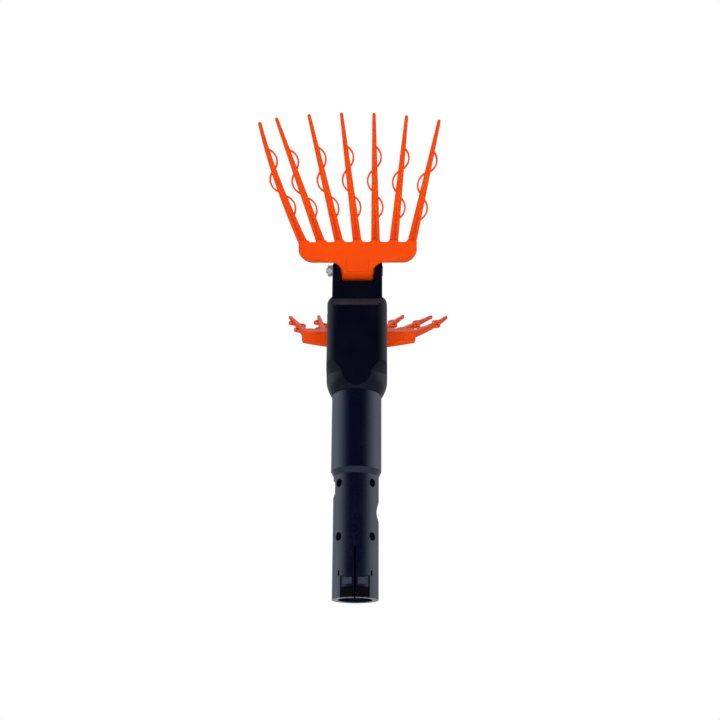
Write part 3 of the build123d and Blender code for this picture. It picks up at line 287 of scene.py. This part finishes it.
# Die-cast aluminium: pale grey skin with flow marks.
cast = surface(
    "die_cast_aluminium", CAST_LOW, CAST_HIGH, {"Metallic": 1.0},
    roughness=(0.45, 0.60), patch_mm=8, grain_mm=0.8, grain_depth_mm=0.03)

# Pressed ferrite and carbon: dense dark grey.
ferrite = surface(
    "pressed_ferrite", FERRITE_LOW, FERRITE_HIGH, {"IOR": 1.6},
    roughness=(0.55, 0.70), patch_mm=5, grain_mm=0.6, grain_depth_mm=0.02)

# Stacked electrical sheet: thin rings along the shaft.
laminate = surface(
    "stacked_sheet_steel", LAMINATE_LOW, LAMINATE_HIGH, {"Metallic": 1.0},
    roughness=(0.38, 0.50), patch_mm=6, grain_mm=0.5, grain_depth_mm=0.02,
    stretch=(0.05, 0.05, 1))

SLOT_FINISH = {
    "body_plastic": dark_nylon,
    "socket_plastic": smooth_nylon,
    "tube_metal": dark_coat,
    "comb_plastic": orange_nylon,
    "zinc_steel": zinc,
    "plain_steel": steel,
    "bronze": bronze,
    "copper": copper,
    "die_cast": cast,
    "ferrite": ferrite,
    "lamination": laminate,
    "cap_plastic": dark_nylon,
}

for entry in frame["record"]["subparts"]:
    node = NODES[entry["node"]]
    node.data.materials.clear()
    node.data.materials.append(SLOT_FINISH[entry["material_slot"]])


def finish_piece(name, shape, finish, replaced=()):
    """A finished bmesh as a piece that rides on the housing."""
    bmesh.ops.recalc_face_normals(shape, faces=shape.faces)
    mesh = bpy.data.meshes.new(name)
    shape.to_mesh(mesh)
    shape.free()
    mesh.materials.append(finish)
    piece = bpy.data.objects.new(name, mesh)
    bpy.context.scene.collection.objects.link(piece)
    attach(piece, "housing")
    if replaced:
        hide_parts(*replaced)


def all_geometry(shape):
    """Everything in a bmesh, as a cutting operator takes it."""
    return list(shape.verts) + list(shape.edges) + list(shape.faces)


def only(kind, items):
    """The vertices or the edges among an operator's results."""
    return [item for item in items if isinstance(item, kind)]


# Fasteners, turned about their own axes, which run along X
def turn_profile(shape, profile, y, z):
    """Spins a line of (x, radius) points, in millimetres, round the axis at y and z."""
    line = [shape.verts.new((x * MM, y * MM, (z + radius) * MM)) for x, radius in profile]
    edges = [shape.edges.new(pair) for pair in zip(line, line[1:])]
    bmesh.ops.spin(shape, geom=line + edges, cent=(0, y * MM, z * MM), axis=(1, 0, 0),
                   angle=2 * math.pi, steps=TURN_STEPS, use_merge=True)
    bmesh.ops.remove_doubles(shape, verts=shape.verts, dist=MERGE_DISTANCE)


def thread_profile(start, length, radius, depth):
    """Ridges of a thread from start along +X."""
    points = []
    for ridge in range(int(length / THREAD_PITCH)):
        root_x = start + ridge * THREAD_PITCH
        points.append((root_x, radius - depth))
        points.append((root_x + THREAD_PITCH / 2, radius))
    points.append((start + length, radius - depth))
    points.append((start + length + depth, radius))
    return points


def cut_hexagon(shape, flats, y, z):
    """Six flats across a turned blank, with the top one facing +Z."""
    half_side = math.pi / HEX_SIDES
    for side in range(HEX_SIDES):
        angle = half_side * (1 + 2 * side)
        outward = Vector((0, math.cos(angle), math.sin(angle)))
        centre = Vector((0, y * MM, z * MM)) + outward * flats / 2 * MM
        cut = bmesh.ops.bisect_plane(shape, geom=all_geometry(shape), plane_co=centre,
                                     plane_no=outward, clear_outer=True)
        bmesh.ops.edgenet_fill(shape, edges=only(bmesh.types.BMEdge, cut["geom_cut"]))


def node_axis(node):
    """A fastener's x ends, the y and z of its axis and its size across flats, in millimetres."""
    low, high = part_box(node)
    middle = (Vector(low) + Vector(high)) / 2 / MM
    return low[0] / MM, high[0] / MM, middle.y, middle.z, (high[2] - low[2]) / MM


def make_nut(end):
    """Pivot nut with chamfered corners and a countersunk hole."""
    node = end + "_pivot_nut"
    x0, x1, y, z, flats = node_axis(node)
    corner = flats / math.sqrt(3)
    face = flats / 2 * CHAMFER_SHARE
    mouth = BOLT_R + THREAD_DEPTH
    shape = bmesh.new()
    turn_profile(shape, (
        (x0 + THREAD_DEPTH, BOLT_R),
        (x0, mouth),
        (x0, face),
        (x0 + CORNER_CHAMFER, corner),
        (x1 - CORNER_CHAMFER, corner),
        (x1, face),
        (x1, mouth),
        (x1 - THREAD_DEPTH, BOLT_R),
        (x0 + THREAD_DEPTH, BOLT_R),
    ), y, z)
    cut_hexagon(shape, flats, y, z)
    finish_piece(end + "_lock_nut", shape, zinc, (node,))


def make_bolt(end):
    """Pivot bolt, threaded at its nut end, with a chamfered hexagon head."""
    node = end + "_pivot_bolt"
    x0, x1, y, z, flats = node_axis(node)
    seat = x1 - BOLT_HEAD_H
    corner = flats / math.sqrt(3)
    shape = bmesh.new()
    turn_profile(shape, (
        (x0, 0),
        (x0, BOLT_R - THREAD_DEPTH),
        *thread_profile(x0 + THREAD_DEPTH, BOLT_THREAD_LENGTH, BOLT_R, THREAD_DEPTH),
        (seat, BOLT_R),
        (seat, corner),
        (x1 - CORNER_CHAMFER, corner),
        (x1, flats / 2 * CHAMFER_SHARE),
        (x1, 0),
    ), y, z)
    cut_hexagon(shape, flats, y, z)
    finish_piece(end + "_hex_bolt", shape, zinc, (node,))


def sink_socket(screw, top, y, z):
    """A hexagon socket in the open rim of a screw's head."""
    rim = [edge for edge in screw.edges if edge.is_boundary]
    place = Matrix.Translation((top * MM, y * MM, z * MM)) @ Matrix.Rotation(math.pi / 2, 4, "Y")
    bmesh.ops.create_circle(screw, segments=HEX_SIDES, matrix=place,
                            radius=SCREW_SOCKET_FLATS / math.sqrt(3) * MM)
    sides = [edge for edge in screw.edges if edge.is_wire]
    bmesh.ops.subdivide_edges(screw, edges=sides, cuts=TURN_STEPS // HEX_SIDES - 1)
    sides = [edge for edge in screw.edges if edge.is_wire]
    bmesh.ops.bridge_loops(screw, edges=rim + sides)
    floor = bmesh.ops.extrude_edge_only(screw, edges=sides)["geom"]
    bmesh.ops.translate(screw, verts=only(bmesh.types.BMVert, floor),
                        vec=(SCREW_SOCKET_DEPTH * MM, 0, 0))
    bmesh.ops.edgenet_fill(screw, edges=only(bmesh.types.BMEdge, floor))


def make_case_screws():
    """Four socket-head screws that hold the case halves together."""
    shape = bmesh.new()
    thread_start = SCREW_TIP - SCREW_THREAD_LENGTH - THREAD_PITCH
    for y, z, seat in SCREW_PLACES:
        screw = bmesh.new()
        top = seat - SCREW_HEAD_H
        turn_profile(screw, (
            (top, SCREW_RIM_R),
            (top, SCREW_HEAD_R - SCREW_HEAD_EASE),
            (top + SCREW_HEAD_EASE, SCREW_HEAD_R),
            (seat, SCREW_HEAD_R),
            (seat, SCREW_R),
            *thread_profile(thread_start, SCREW_THREAD_LENGTH, SCREW_R, SCREW_THREAD_DEPTH),
            (SCREW_TIP, SCREW_R - SCREW_THREAD_DEPTH),
            (SCREW_TIP, 0),
        ), y, z)
        sink_socket(screw, top, y, z)
        bmesh.ops.recalc_face_normals(screw, faces=screw.faces)
        mesh = bpy.data.meshes.new("screw")
        screw.to_mesh(mesh)
        screw.free()
        shape.from_mesh(mesh)
        bpy.data.meshes.remove(mesh)
    finish_piece("case_screws", shape, zinc, ("housing_screws",))


# Trim: the gasket in the case seam, and in the clamp recess the pads and a dull dark band that
# makes its lower part darker towards the mouth
def make_gasket():
    """Thin sheet between the case halves, cut to the section of their walls."""
    shape = bmesh.new()
    shape.from_mesh(NODES["housing_left"].data)
    bmesh.ops.remove_doubles(shape, verts=shape.verts, dist=MERGE_DISTANCE)
    cut = bmesh.ops.bisect_plane(shape, geom=all_geometry(shape),
                                 plane_co=(GASKET_CUT_X * MM, 0, 0), plane_no=(1, 0, 0),
                                 clear_inner=True, clear_outer=True)
    outline = only(bmesh.types.BMEdge, cut["geom_cut"])
    bmesh.ops.triangle_fill(shape, use_beauty=True, edges=outline)
    bmesh.ops.translate(shape, verts=shape.verts,
                        vec=((-GASKET_T / 2 - GASKET_CUT_X) * MM, 0, 0))
    sheet = bmesh.ops.extrude_face_region(shape, geom=list(shape.faces))["geom"]
    bmesh.ops.translate(shape, verts=only(bmesh.types.BMVert, sheet), vec=(GASKET_T * MM, 0, 0))
    finish_piece("case_gasket", shape, rubber)


def bend_plate(shape, thickness, heights, span, side):
    """A plate on the recess floor, bent round the socket on one side of the slit."""
    inner = RECESS_FLOOR_R
    outer = RECESS_FLOOR_R + thickness
    bottom, top = heights
    corners = ((inner, bottom), (outer, bottom), (outer, top), (inner, top))
    section = [shape.verts.new((0, -radius * MM, z * MM)) for radius, z in corners]
    face = shape.faces.new(section)
    start, end = (side * math.radians(angle) for angle in span)
    bmesh.ops.rotate(shape, verts=section, cent=(0, 0, 0), matrix=Matrix.Rotation(start, 3, "Z"))
    bmesh.ops.spin(shape, geom=[face], cent=(0, 0, 0), axis=(0, 0, 1), angle=end - start,
                   steps=BEND_STEPS)


def make_recess_plates(name, thickness, heights, span, finish):
    """A pair of bent plates, eased along their edges."""
    shape = bmesh.new()
    for side in (-1, 1):
        bend_plate(shape, thickness, heights, span, side)
    bmesh.ops.recalc_face_normals(shape, faces=shape.faces)
    sharp = [edge for edge in shape.edges if edge.calc_face_angle(0) > math.radians(SHARP_ANGLE)]
    bmesh.ops.bevel(shape, geom=sharp, offset=PLATE_EASE * MM, offset_type="OFFSET",
                    segments=PLATE_EASE_STEPS, profile=0.5, affect="EDGES", material=-1)
    finish_piece(name, shape, finish)


for pivot_end in ("upper", "lower"):
    make_nut(pivot_end)
    make_bolt(pivot_end)
make_case_screws()
make_gasket()
# Dull near-black sheet over the lower part of the recess: the recess looks darker towards the
# mouth
make_recess_plates("recess_dark_band", DARK_BAND_T, DARK_BAND_Z, DARK_BAND_SPAN, rubber)
make_recess_plates("clamp_pads", PAD_T, PAD_Z, PAD_SPAN, slate_acetal)


# Studio: pale floor, white surround, soft lamps, and the photograph's viewpoint
def make_floor():
    """Matt pale floor, with a share of plain white for the camera and for mirrors."""
    mesh = bpy.data.meshes.new("floor")
    shape = bmesh.new()
    bmesh.ops.create_grid(shape, x_segments=1, y_segments=1, size=FLOOR_HALF)
    bmesh.ops.translate(shape, verts=shape.verts, vec=(0, 0, FLOOR_Z))
    shape.to_mesh(mesh)
    shape.free()
    floor = bpy.data.objects.new("floor", mesh)
    bpy.context.scene.collection.objects.link(floor)
    paint = bpy.data.materials.new("floor_paint")
    paint.use_nodes = True
    tree = paint.node_tree
    tree.nodes.clear()
    matt = add(tree, "ShaderNodeBsdfPrincipled", {},
               {"Base Color": linear(FLOOR_COLOUR), "Roughness": FLOOR_ROUGHNESS})
    white = add(tree, "ShaderNodeEmission", {}, {"Color": WHITE, "Strength": 1.0})
    path = add(tree, "ShaderNodeLightPath")
    seen = add(tree, "ShaderNodeMath", {"operation": "MAXIMUM"},
               {0: path.outputs["Is Camera Ray"], 1: path.outputs["Is Glossy Ray"]})
    share = add(tree, "ShaderNodeMath", {"operation": "MULTIPLY"},
                {0: seen.outputs[0], 1: FLOOR_WHITE})
    mixed = add(tree, "ShaderNodeMixShader", {},
                {0: share.outputs[0], 1: matt.outputs[0], 2: white.outputs[0]})
    add(tree, "ShaderNodeOutputMaterial", {}, {"Surface": mixed.outputs[0]})
    mesh.materials.append(paint)


def make_world():
    """White surround. Mirrors see it bright at both sides and overhead, soft behind the head and
    dim in front, as between soft boxes."""
    world = bpy.data.worlds.new("studio")
    bpy.context.scene.world = world
    world.use_nodes = True
    tree = world.node_tree
    tree.nodes.clear()
    path = add(tree, "ShaderNodeLightPath")
    place = add(tree, "ShaderNodeTexCoord").outputs["Generated"]
    axes = add(tree, "ShaderNodeSeparateXYZ", {}, {"Vector": place})
    sideways = add(tree, "ShaderNodeMath", {"operation": "ABSOLUTE"}, {0: axes.outputs["X"]})
    sides = add(tree, "ShaderNodeMapRange", {},
                {"Value": sideways.outputs[0],
                 "From Min": SIDE_RANGE[0], "From Max": SIDE_RANGE[1]})
    falloff = add(tree, "ShaderNodeMath", {"operation": "POWER"},
                  {0: sides.outputs["Result"], 1: SIDE_POWER})
    away = add(tree, "ShaderNodeVectorMath", {"operation": "DOT_PRODUCT"}, {0: place, 1: BACKDROP})
    behind = add(tree, "ShaderNodeMapRange", {},
                 {"Value": away.outputs["Value"],
                  "From Min": BACK_RANGE[0], "From Max": BACK_RANGE[1], "To Max": BACK_WHITE})
    upward = add(tree, "ShaderNodeVectorMath", {"operation": "DOT_PRODUCT"},
                 {0: place, 1: OVERHEAD})
    above = add(tree, "ShaderNodeMapRange", {},
                {"Value": upward.outputs["Value"],
                 "From Min": TOP_RANGE[0], "From Max": TOP_RANGE[1],
                 "To Min": FRONT_DIM, "To Max": TOP_WHITE})
    flanks = add(tree, "ShaderNodeMath", {"operation": "MULTIPLY_ADD"},
                 {0: falloff.outputs[0], 1: SIDE_WHITE, 2: behind.outputs["Result"]})
    total = add(tree, "ShaderNodeMath", {"operation": "ADD"},
                {0: flanks.outputs[0], 1: above.outputs["Result"]})
    mirrored = add(tree, "ShaderNodeBackground", {},
                   {"Color": WHITE, "Strength": total.outputs[0]})
    fill = add(tree, "ShaderNodeBackground", {}, {"Color": WHITE, "Strength": WORLD_FILL})
    shown = add(tree, "ShaderNodeBackground", {}, {"Color": WHITE, "Strength": 1.0})
    bounced = add(tree, "ShaderNodeMixShader", {},
                  {0: path.outputs["Is Glossy Ray"], 1: fill.outputs[0], 2: mirrored.outputs[0]})
    direct = add(tree, "ShaderNodeMath", {"operation": "MAXIMUM"},
                 {0: path.outputs["Is Camera Ray"], 1: path.outputs["Is Transmission Ray"]})
    mixed = add(tree, "ShaderNodeMixShader", {},
                {0: direct.outputs[0], 1: bounced.outputs[0], 2: shown.outputs[0]})
    add(tree, "ShaderNodeOutputWorld", {}, {"Surface": mixed.outputs[0]})


def make_lamp(name, place, width, height, watts, spread):
    """Soft lamp aimed at the middle of the head."""
    data = bpy.data.lights.new(name, "AREA")
    data.shape = "RECTANGLE"
    data.size = width
    data.size_y = height
    data.energy = watts
    data.spread = math.radians(spread)
    lamp = bpy.data.objects.new(name, data)
    bpy.context.scene.collection.objects.link(lamp)
    lamp.location = place
    lamp.visible_glossy = False
    lamp.rotation_euler = (AIM - Vector(place)).to_track_quat("-Z", "Y").to_euler()


def make_camera():
    """Camera at the photograph's viewpoint, low down and looking up."""
    data = bpy.data.cameras.new("viewpoint")
    data.sensor_width = CAMERA_SENSOR
    data.lens = CAMERA_LENS
    camera = bpy.data.objects.new("viewpoint", data)
    bpy.context.scene.collection.objects.link(camera)
    camera.location = CAMERA_PLACE
    yaw = Matrix.Rotation(math.radians(CAMERA_YAW), 3, "Z")
    pitch = Matrix.Rotation(math.radians(CAMERA_PITCH), 3, "X")
    roll = Matrix.Rotation(math.radians(CAMERA_ROLL), 3, "Z")
    camera.rotation_euler = (yaw @ pitch @ roll).to_euler()
    bpy.context.scene.camera = camera


make_floor()
make_world()
for lamp_settings in LAMPS:
    make_lamp(*lamp_settings)
make_camera()
bpy.context.scene.view_settings.view_transform = "Standard"
